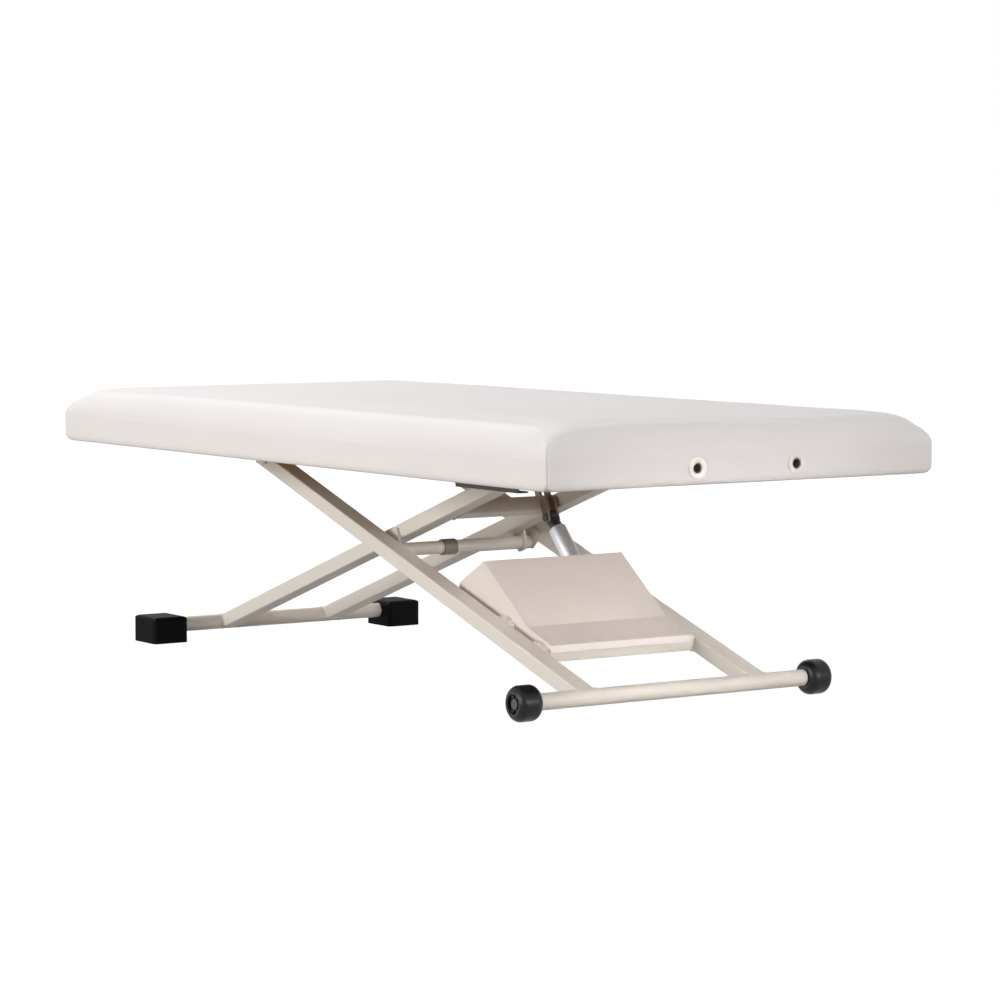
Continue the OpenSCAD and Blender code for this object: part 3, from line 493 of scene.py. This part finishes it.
def cushion_levels():
    """Height, inset, draw, seam strength and corner radius of each level, from the fold up to the crown."""
    round_z = RIM_Z - EDGE_ROUND
    tuck_top = FOLD_Z + TUCK_H
    flat = ((UNDER_Z, FOLD_W), (FOLD_Z, FOLD_W), (FOLD_Z, FOLD_MIDDLE), (FOLD_Z, FOLD_START))
    levels = [(z, inset, 0, 0, LOW_CORNER_R) for z, inset in flat]
    for n in range(TUCK_STEPS + 1):
        a = math.radians(90 * n / TUCK_STEPS)
        share = 1 - math.sin(a)
        radius = CORNER_R + (LOW_CORNER_R - CORNER_R) * share
        levels.append((tuck_top - TUCK_H * math.cos(a), EDGE_TUCK * share, 0, 1 - share, radius))
    for n in range(1, SIDE_STEPS + 1):
        z = tuck_top + (round_z - tuck_top) * n / SIDE_STEPS
        levels.append((z, 0, draw_at(z), 1, CORNER_R))
    for n in range(1, ROUND_STEPS + 1):
        a = math.radians(90 * n / ROUND_STEPS)
        z = round_z + EDGE_ROUND * math.sin(a)
        inset = EDGE_ROUND * (1 - math.cos(a))
        seam = max(0.0, 1 - SEAM_FADE * n / ROUND_STEPS)
        levels.append((z, inset, draw_at(z), seam, spread_radius(inset)))
    reach = HALF_W - EDGE_ROUND - RIDGE_HALF
    for n in range(1, CROWN_STEPS + 1):
        f = (n / CROWN_STEPS) ** CROWN_EASE
        inset = EDGE_ROUND + f * reach
        levels.append((RIM_Z + CROWN * (1 - (1 - f) ** 2), inset, 0, 0, spread_radius(inset)))
    return levels


def spread_radius(inset):
    """Plan radius of a corner on the upper edge, which grows inwards."""
    return min(CORNER_R + CORNER_SPREAD * inset, (HALF_W - inset) * CORNER_SHARE)


def draw_at(z):
    """How far the side is drawn in half way along at height z."""
    share = (z - DECK_Z) / (RIM_Z - DECK_Z)
    return SIDE_DRAW * math.sin(math.pi * min(1.0, share)) if share > 0 else 0.0


def outer_points():
    """Levels of points over the outside, with the grooves of the corner seams."""
    points = []
    for z, inset, draw, seam, radius in cushion_levels():
        for p, turn, corner in outline(HALF_L - inset, HALF_W - inset, radius, draw):
            if corner is not None and seam:
                off = (corner - 0.5) * radius * math.pi / 2 / SEAM_HALF
                depth = SEAM_DEPTH * seam * bell(off)
                p = p - Vector((math.cos(turn), math.sin(turn))) * depth
            points.append(Vector((p.x, p.y, z)))
    return points


def inner_points():
    """Levels from the fold's edge back out under the vinyl, up past the frame and over the deck."""
    levels = (
        (UNDER_Z, SKIN + EDGE_TUCK, LOW_CORNER_R),
        (UNDER_Z + TUCK_H, SKIN, CORNER_R),
        (DECK_Z + DECK_GAP, SKIN, CORNER_R),
    )
    points = []
    for z, inset, radius in levels:
        for p, _, _ in outline(HALF_L - inset, HALF_W - inset, radius - inset / 2, 0):
            points.append(Vector((p.x, p.y, z)))
    return points


def band(low, high):
    """Faces between two levels of the top, each given by its first point."""
    n = LEVEL_POINTS
    return [(low + k, low + (k + 1) % n, high + (k + 1) % n, high + k) for k in range(n)]


def upholstery():
    """Foam and vinyl as one closed form over the wooden frame."""
    outside = outer_points()
    points = outside + inner_points()
    n = LEVEL_POINTS
    start = len(outside)
    faces = []
    for low in range(0, start - n, n):
        faces += band(low, low + n)
    faces.append(tuple(range(start - n, start)))
    faces += band(start, 0)
    for low in (start, start + n):
        faces += band(low + n, low)
    faces.append(tuple(reversed(range(start + 2 * n, start + 3 * n))))
    top = mesh_object("upholstered_top", points, faces)
    top.data.materials.append(MATERIALS["vinyl"])
    swell_as_cloth(top)
    cut_holes(top)
    settle(top)
    sharpen(top, SHARP_TOP)
    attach(top, "tabletop")
    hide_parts("vinyl_cover", "foam_pad")
    return top


def eased(share):
    """Share from 0 to 1 with level ends."""
    share = min(1.0, max(0.0, share))
    return share * share * (3 - 2 * share)


def swell_as_cloth(top):
    """Lets a coarse copy of the vinyl swell as cloth, and moves the fine mesh by what it found."""
    copy = add_object("cloth_trial", top.data.copy())
    bpy.context.view_layer.objects.active = copy
    copy.select_set(True)
    grid = copy.modifiers.new("grid", "REMESH")
    grid.mode = "VOXEL"
    grid.voxel_size = CLOTH_VOXEL
    bpy.ops.object.modifier_apply(modifier=grid.name)
    before = [vertex.co.copy() for vertex in copy.data.vertices]
    held = copy.vertex_groups.new(name="held")
    held.add([i for i, p in enumerate(before) if p.z < DECK_Z], 1.0, "REPLACE")
    cloth = copy.modifiers.new("swell", "CLOTH")
    cloth.settings.quality = 4
    cloth.settings.mass = 0.4
    cloth.settings.tension_stiffness = 40
    cloth.settings.compression_stiffness = 40
    cloth.settings.shear_stiffness = 20
    cloth.settings.bending_stiffness = 2.0
    cloth.settings.use_pressure = True
    cloth.settings.uniform_pressure_force = CLOTH_PRESSURE
    cloth.settings.vertex_group_mass = held.name
    cloth.settings.effector_weights.gravity = 0
    cloth.collision_settings.use_collision = False
    cloth.point_cache.frame_start = 1
    cloth.point_cache.frame_end = CLOTH_FRAMES
    for frame_number in range(1, CLOTH_FRAMES + 1):
        bpy.context.scene.frame_set(frame_number)
    shown = copy.evaluated_get(bpy.context.evaluated_depsgraph_get())
    moves = [vertex.co - p for vertex, p in zip(shown.data.vertices, before)]
    bpy.context.scene.frame_set(1)
    tree = kdtree.KDTree(len(before))
    for i, p in enumerate(before):
        tree.insert(p, i)
    tree.balance()
    for vertex in top.data.vertices:
        share = eased((vertex.co.z - DECK_Z) / CLOTH_FADE)
        if not share:
            continue
        near = tree.find_n(vertex.co, CLOTH_NEAR)
        weights = [1 / (away + CLOTH_BLUR) for _, _, away in near]
        move = sum((moves[i] * w for (_, i, _), w in zip(near, weights)), Vector()) / sum(weights)
        move *= CLOTH_SHARE
        if move.length > CLOTH_CAP:
            move *= CLOTH_CAP / move.length
        vertex.co += move * share
    bpy.data.objects.remove(copy)


def cut_holes(top):
    """Opens the vinyl for the two rings in the head end."""
    for side in ("left", "right"):
        low, high = node_box("cradle_ring_" + side)
        bpy.ops.mesh.primitive_cylinder_add(
            vertices=64, radius=(high.z - low.z) / 2 + HOLE_GAP, depth=HOLE_DEPTH,
            location=(low + high) / 2, rotation=(0, math.pi / 2, 0)
        )
        tool = bpy.context.object
        cut = top.modifiers.new("hole", "BOOLEAN")
        cut.operation = "DIFFERENCE"
        cut.solver = "EXACT"
        cut.object = tool
        bpy.context.view_layer.objects.active = top
        bpy.ops.object.modifier_apply(modifier=cut.name)
        bpy.data.objects.remove(tool)
    top.data.shade_smooth()


def settle(top):
    """Moves the vinyl a little, as it lies over foam: waves, soft corners, the pinched head end, puckers."""
    holes = [middle_of("cradle_ring_" + side) for side in ("left", "right")]
    normals = [vertex.normal.copy() for vertex in top.data.vertices]
    for vertex, normal in zip(top.data.vertices, normals):
        p = vertex.co.copy()
        if p.z < FOLD_Z + TUCK_H or is_inside(p, normal):
            continue
        wave = sum(share * noise.noise(p * scale) for scale, share in WAVES)
        vertex.co += normal * SWELL * wave + soft_corner(p)
        if p.x > HALF_L - EDGE_ROUND:
            vertex.co.x += head_lip(p)
        if p.x > HALF_L - HEAD_FACE:
            vertex.co.x -= sum(pucker(p, hole) for hole in holes)
    top.data.update()


def bell(value):
    """1 at 0, falling away to both sides."""
    return math.exp(-value * value)


def soft_corner(p):
    """Move of a point near the upper corners and over the foot end, where the foam gives way."""
    height = (p.z - DECK_Z) / (TOP_Z - DECK_Z)
    soft = bell(math.hypot(HALF_L - abs(p.x), HALF_W - abs(p.y)) / SOFT_REACH)
    sunk = FOOT_SINK * eased(1 - (p.x + HALF_L) / FOOT_REACH)
    draw = SOFT_DRAW * soft * eased(height * SOFT_LOW)
    drop = (SOFT_DROP * soft + sunk) * eased(height)
    return Vector((-math.copysign(draw, p.x), -math.copysign(draw, p.y), -drop))


def head_lip(p):
    """How far the head end's upper edge stands out, or lies back in the groove below it."""
    inwards = HALF_W - abs(p.y)
    near = bell(inwards / PINCH_REACH) * eased(inwards / PINCH_START)
    near *= eased((p.x - HALF_L + EDGE_ROUND) / PINCH_FADE)
    lip = bell((RIM_Z - LIP_Z - p.z) / LIP_HALF)
    groove = bell((RIM_Z - GROOVE_Z - p.z) / GROOVE_HALF)
    return near * (LIP_OUT * lip - GROOVE_IN * groove)


def pucker(p, hole):
    """How far the vinyl is drawn in at a point near a cradle hole."""
    away = math.hypot((p.y - hole.y) / PUCKER_W, (p.z - hole.z) / PUCKER_H)
    spoke = math.atan2(p.z - hole.z, p.y - hole.y)
    fold = 1 + PUCKER_SHARE * math.sin(PUCKER_FOLDS * spoke + hole.y * PUCKER_SHIFT)
    return PUCKER_DEPTH * fold * bell(away)


def is_inside(p, normal):
    """True for the hidden inner faces, which keep their clearance from the wood."""
    at_side = abs(p.y) > HALF_W - INNER_SIDE
    return p.z < DECK_Z + INNER_TOP and (normal.x * p.x < 0 or normal.y * p.y < 0 and at_side)


def sharpen(obj, angle):
    """Keeps edges sharper than angle as edges."""
    mesh = bmesh.new()
    mesh.from_mesh(obj.data)
    for edge in mesh.edges:
        if len(edge.link_faces) == 2 and edge.calc_face_angle(0) > math.radians(angle):
            edge.smooth = False
    mesh.to_mesh(obj.data)
    mesh.free()


# Rings, threads and staples

# Ring's section: (out of the face, in from the edge) of its edge, the rounded lip,
# and (out of the face, out from the bore) back down to the bore
BORE_R = 0.008
RING_EDGE = ((-0.0002, 0.0), (0.0005, 0.0006))
RING_RIM = 0.0012
LIP_BASE = 0.0001
LIP_W = 0.004
LIP_H = 0.0014
LIP_START = 15
LIP_STEPS = 6
RING_INSIDE = ((0.0011, 0.0032), (0.0002, 0.0020), (-0.0030, 0.0010), (-0.0036, 0.0))

# Beat of the stitches along a corner seam
STITCH_LOW = 0.85
STITCH_RISE = 0.3
STITCH_TURN = 1.3

# Staples: size, spacing, distance from the edge and from the corners, tilt, and how far they sink in
STAPLE_L = 0.011
STAPLE_W = 0.0012
STAPLE_H = 0.0006
STAPLE_STEP = 0.045
STAPLE_INSET = 0.021
STAPLE_END = 0.06
STAPLE_TILT = 0.25
STAPLE_SUNK = 0.6


def lathe(name, profile, centre, along, steps=64):
    """Turned piece: profile of (along the axis, radius) around a line through centre."""
    axis = Vector(along).normalized()
    side = axis.orthogonal().normalized()
    up = axis.cross(side)
    points, faces = [], []
    for k in range(steps):
        a = 2 * math.pi * k / steps
        out = side * math.cos(a) + up * math.sin(a)
        points += [Vector(centre) + axis * h + out * r for h, r in profile]
    m = len(profile)
    for k in range(steps):
        n = (k + 1) % steps
        for i in range(m):
            j = (i + 1) % m
            faces.append((k * m + i, n * m + i, n * m + j, k * m + j))
    made = mesh_object(name, points, faces)
    sharpen(made, SHARP_RING)
    return made


def make_rings():
    """Pale rings with rounded lips round the cradle holes."""
    for side in ("left", "right"):
        low, high = node_box("cradle_ring_" + side)
        outer = (high.z - low.z) / 2
        deep = high.x - low.x
        profile = [(-deep, BORE_R), (-deep, outer)] + [(h, outer - inwards) for h, inwards in RING_EDGE]
        for n in range(LIP_STEPS + 1):
            a = math.radians(LIP_START + (90 - LIP_START) * n / LIP_STEPS)
            out = outer - RING_RIM - LIP_W * (1 - math.cos(a))
            profile.append((LIP_H * math.sin(a) + LIP_BASE, out))
        profile += [(h, BORE_R + out) for h, out in RING_INSIDE]
        centre = (high.x, (low.y + high.y) / 2, (low.z + high.z) / 2)
        ring = lathe("ring_" + side, profile, centre, (1, 0, 0))
        ring.data.materials.append(MATERIALS["ring"])
        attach(ring, "tabletop")
        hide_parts("cradle_ring_" + side)


def make_corner_seams(top):
    """Thread that draws the vinyl together at each upright corner, laid in the settled groove, its grey
    painted shade of that groove.
    """
    low = FOLD_Z + SKIN
    high = RIM_Z - EDGE_ROUND * SEAM_END
    for k, (sx, sy) in enumerate(CORNERS):
        inwards = Vector((-sx, -sy, 0)).normalized()
        path = []
        for n in range(SEAM_STEPS + 1):
            z = low + (high - low) * n / SEAM_STEPS
            start = Vector((sx * HALF_L, sy * HALF_W, z)) - inwards * SEAM_REACH
            found, place, _, _ = top.ray_cast(start, inwards)
            if found:
                path.append(place + inwards * SEAM_SUNK)
        beat = [STITCH_LOW + STITCH_RISE * abs(math.sin(STITCH_TURN * n)) for n in range(len(path))]
        seam = swept("corner_seam_%d" % (k + 1), path, [SEAM_THREAD * share for share in beat])
        seam.data.materials.append(PAINTED_SHADE_THREAD)
        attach(seam, "tabletop")


def staple_places():
    """Place and direction of each staple along the four edges."""
    places = []
    for along, across, turned in ((HALF_L, HALF_W, False), (HALF_W, HALF_L, True)):
        reach = along - STAPLE_END
        count = int(2 * reach / STAPLE_STEP)
        for side in (-1, 1):
            for k in range(count + 1):
                s = -reach + 2 * reach * k / count
                tilt = STAPLE_TILT * noise.noise(Vector((s * 40, side * 3.0, along)))
                place = Vector((s, side * (across - STAPLE_INSET), FOLD_Z - STAPLE_H / 2))
                way = Vector((math.cos(tilt), math.sin(tilt), 0))
                if turned:
                    place = Vector((place.y, place.x, place.z))
                    way = Vector((way.y, way.x, 0))
                places.append((place, way))
    return places


def make_staples():
    """Staples through the folded vinyl under the top."""
    points, faces = [], []
    for place, way in staple_places():
        side = Vector((-way.y, way.x, 0))
        start = len(points)
        for x in (-1, 1):
            for y in (-1, 1):
                for rise in (-STAPLE_SUNK, 1):
                    flat = way * x * STAPLE_L / 2 + side * y * STAPLE_W / 2
                    points.append(place + flat + Vector((0, 0, rise * STAPLE_H / 2)))
        for face in ((0, 1, 3, 2), (4, 6, 7, 5), (0, 4, 5, 1), (2, 3, 7, 6), (0, 2, 6, 4), (1, 5, 7, 3)):
            faces.append(tuple(start + i for i in face))
    staples = mesh_object("fold_staples", points, faces, smooth=False)
    staples.data.materials.append(MATERIALS["zinc"])
    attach(staples, "tabletop")


# Welds

# Rails' section, where their centrelines pass over the pivot, and the inner faces of each pair
RAIL_W = 0.040
RAIL_H = 0.030
OUTER_OFFSET = 0.0225
INNER_OFFSET = 0.034
OUTER_IN_Y = 0.180
INNER_IN_Y = 0.110

# Beads: radius, unwelded stretch at the top, points, ripple, and the arc round a tube in degrees each way
BEAD_R = 0.0022
WELD_OPEN = 0.004
WELD_SIDES = 8
WELD_STEP = 0.0016
WELD_RIPPLE = 0.16
WELD_RIPPLE_TURN = 2.1
WELD_ROUGH = 0.1
WELD_ROUGH_SCALE = 300
ARC_STEPS = 32
ARC_HALF = 84
ROUND_WELD_STEPS = 56

# Each frame's rails: cross tube at the lower end, distance of the centreline from the pivot,
# way they rise (1 towards the head end) and inner face
RAILS = {
    "outer_frame": ("front_cross_tube", OUTER_OFFSET, -1, OUTER_IN_Y),
    "inner_frame": ("foot_cross_tube", INNER_OFFSET, 1, INNER_IN_Y),
}


def slope(offset):
    """Slope of a pair of rails whose centreline passes offset above the pivot."""
    base = middle_of("front_cross_tube")
    rise = middle_of("pivot_bar").z - base.z
    run = (base.x - middle_of("foot_cross_tube").x) / 2
    return math.atan2(rise, run) + math.asin(offset / math.hypot(rise, run))


def on_rail(body, u, v, y):
    """Point u along and v over the centreline of a frame's rails, from their cross tube."""
    tube, offset, way, _ = RAILS[body]
    base = middle_of(tube)
    a = slope(offset)
    x = base.x + u * math.cos(a) - way * v * math.sin(a)
    z = base.z + way * u * math.sin(a) + v * math.cos(a)
    return Vector((x, y, z))


def bead(name, path, body, closed=False):
    """Weld bead with the small ripples of its runs."""
    radius = []
    for i, p in enumerate(path):
        ripple = WELD_RIPPLE * abs(math.sin(WELD_RIPPLE_TURN * i))
        ripple += WELD_ROUGH * noise.noise(p * WELD_ROUGH_SCALE)
        radius.append(BEAD_R * (0.9 + ripple))
    made = swept(name, path, radius, WELD_SIDES, closed)
    made.data.materials.append(MATERIALS["frame_paint"])
    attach(made, body)


def spaced(corners):
    """Points at even steps along straight stretches."""
    path = []
    for a, b in zip(corners, corners[1:]):
        count = max(1, round((b - a).length / WELD_STEP))
        path += [a.lerp(b, k / count) for k in range(count)]
    return path + [corners[-1]]


def side_name(side):
    return "left" if side > 0 else "right"


def rail_welds():
    """Beads round three sides of each cross rail's ends."""
    places = (
        ("cover_rail", "cover_cross_rail", "outer_frame"),
        ("motor_rail", "motor_cross_rail", "outer_frame"),
        ("upper_rail", "upper_cross_rail", "inner_frame"),
    )
    w, h = RAIL_W / 2, RAIL_H / 2
    section = ((-w, h - WELD_OPEN), (-w, -h), (w, -h), (w, h - WELD_OPEN))
    for name, node, body in places:
        inside = RAILS[body][-1]
        origin = on_rail(body, 0, 0, 0)
        unit = on_rail(body, 1, 0, 0) - origin
        middle = middle_of(node)
        u = (Vector((middle.x, 0, middle.z)) - origin).dot(unit)
        for side in (-1, 1):
            corners = [on_rail(body, u + x, z, side * inside) for x, z in section]
            bead("weld_%s_%s" % (name, side_name(side)), spaced(corners), body)


def tube_welds():
    """Beads round the half of each cross tube that meets a rail."""
    for name, body in (("front_tube", "outer_frame"), ("foot_tube", "inner_frame")):
        tube, offset, way, inside = RAILS[body]
        low, high = node_box(tube)
        radius = (high.z - low.z) / 2
        face = 0 if way > 0 else 180
        lean = way * slope(offset)
        for at in (inside, inside + RAIL_W):
            for side in (-1, 1):
                path = []
                for k in range(ARC_STEPS + 1):
                    a = math.radians(face - ARC_HALF + 2 * ARC_HALF * k / ARC_STEPS) + lean
                    p = middle_of(tube) + Vector((radius * math.cos(a), 0, radius * math.sin(a)))
                    p.y = side * at
                    path.append(p)
                bead("weld_%s_%d_%s" % (name, round(at * 1000), side_name(side)), path, body)


def pivot_welds():
    """Closed beads where the pivot bar passes through the inner lugs."""
    low, high = node_box("pivot_bar")
    radius = (high.z - low.z) / 2
    lug = node_box("inner_lugs")[1].y
    for side in (-1, 1):
        path = []
        for k in range(ROUND_WELD_STEPS):
            a = 2 * math.pi * k / ROUND_WELD_STEPS
            offset = Vector((radius * math.cos(a), side * lug, radius * math.sin(a)))
            path.append(middle_of("pivot_bar") + offset)
        bead("weld_pivot_bar_" + side_name(side), path, "inner_frame", closed=True)


# Stage, light and camera

# What the camera sees of the floor, and what the floor gives back to the underside of the table
FLOOR_SEEN = (0.86, 0.86, 0.86)
FLOOR_BOUNCE = (0.23, 0.19, 0.145)
FLOOR_SIZE = 60
FLOOR_GLOW = 1.09
FLOOR_GLOW_SHARE = 0.92
WORLD_COLOUR = (1.0, 0.99, 0.98, 1)
WORLD_LIGHT = 0.42
COVER_BEAM = 14


def seen_rays(tree):
    """1 for rays from the camera, off gloss and through glass, 0 for all others."""
    path = tree.nodes.new("ShaderNodeLightPath")
    seen = path.outputs["Is Camera Ray"]
    for ray in ("Is Glossy Ray", "Is Transmission Ray"):
        either = tree.nodes.new("ShaderNodeMath")
        either.operation = "MAXIMUM"
        tree.links.new(seen, either.inputs[0])
        tree.links.new(path.outputs[ray], either.inputs[1])
        seen = either.outputs[0]
    return seen


def make_floor():
    """White floor that keeps the object's shadow and gives back a weak warm light."""
    bpy.ops.mesh.primitive_plane_add(size=FLOOR_SIZE, location=(0, 0, 0))
    floor = bpy.context.object
    floor.name = "floor"
    s = Shader("pale_floor")
    s.roughness(0.9)
    s.specular(0.1)
    camera_ray = s.node("ShaderNodeLightPath").outputs["Is Camera Ray"]
    s.colour(s.mix(camera_ray, FLOOR_BOUNCE, FLOOR_SEEN))
    lit = s.node("ShaderNodeEmission", Color=(1, 1, 1, 1), Strength=FLOOR_GLOW)
    share = s.node("ShaderNodeMath", operation="MULTIPLY")
    share.inputs[1].default_value = FLOOR_GLOW_SHARE
    s.join(seen_rays(s.tree), share.inputs[0])
    mixed = s.node("ShaderNodeMixShader")
    s.join(share.outputs[0], mixed.inputs["Fac"])
    s.join(s.surface.outputs[0], mixed.inputs[1])
    s.join(lit.outputs[0], mixed.inputs[2])
    s.join(mixed.outputs[0], s.tree.nodes["Material Output"].inputs["Surface"])
    floor.data.materials.append(s.material)


def make_world():
    """Soft light all round, white where the camera, gloss or glass sees it."""
    world = bpy.data.worlds.new("studio")
    bpy.context.scene.world = world
    world.use_nodes = True
    tree = world.node_tree
    tree.nodes.clear()
    out = tree.nodes.new("ShaderNodeOutputWorld")
    light = tree.nodes.new("ShaderNodeBackground")
    light.inputs["Color"].default_value = WORLD_COLOUR
    light.inputs["Strength"].default_value = WORLD_LIGHT
    white = tree.nodes.new("ShaderNodeBackground")
    white.inputs["Color"].default_value = (1, 1, 1, 1)
    white.inputs["Strength"].default_value = 1.0
    mix = tree.nodes.new("ShaderNodeMixShader")
    tree.links.new(seen_rays(tree), mix.inputs["Fac"])
    tree.links.new(light.outputs[0], mix.inputs[1])
    tree.links.new(white.outputs[0], mix.inputs[2])
    tree.links.new(mix.outputs[0], out.inputs["Surface"])


def area_lamp(name, place, aim, size, power, spread=180):
    """Rectangular lamp at place that shines at aim."""
    data = bpy.data.lights.new(name, "AREA")
    data.spread = math.radians(spread)
    data.shape = "RECTANGLE"
    data.size, data.size_y = size
    data.energy = power
    lamp = add_object(name, data)
    lamp.location = place
    lamp.rotation_euler = (Vector(place) - Vector(aim)).to_track_quat("Z", "Y").to_euler()


def make_lamps():
    """Side and head lamps, two over the top from the foot end, and a narrow one for the cover."""
    area_lamp("side_lamp", (-0.1, -5.2, 1.35), (0, 0, 0.35), (3.6, 1.8), 188)
    area_lamp("head_lamp", (6.0, 1.5, 1.25), (0.9, 0, 0.45), (3.6, 0.5), 142)
    area_lamp("foot_lamp", (-6.5, 1.4, 5.4), (0, 0, 0.5), (4.0, 4.0), 190)
    area_lamp("top_lamp", (-1.2, 0.3, 3.6), (0, 0, 0.5), (3.0, 3.0), 29)
    area_lamp("cover_lamp", (3.5, -0.5, 0.92), (0.54, 0, 0.13), (0.6, 0.3), 0.5, COVER_BEAM)


def make_camera():
    """The photograph's camera."""
    data = bpy.data.cameras.new("camera")
    data.sensor_width = CAMERA_SENSOR
    data.lens = CAMERA_LENS
    data.shift_x = CAMERA_SHIFT_X
    data.clip_end = 100
    camera = add_object("camera", data)
    az, el = math.radians(CAMERA_AZIMUTH), math.radians(CAMERA_ELEVATION)
    back = Vector((math.sin(az) * math.cos(el), -math.cos(az) * math.cos(el), math.sin(el)))
    camera.location = CAMERA_PLACE
    camera.rotation_euler = back.to_track_quat("Z", "Y").to_euler()
    bpy.context.scene.camera = camera


make_camera()
make_floor()
make_world()
make_lamps()
bpy.context.scene.view_settings.view_transform = "Standard"
dress_nodes()
top = upholstery()
make_rings()
make_corner_seams(top)
make_staples()
rail_welds()
tube_welds()
pivot_welds()
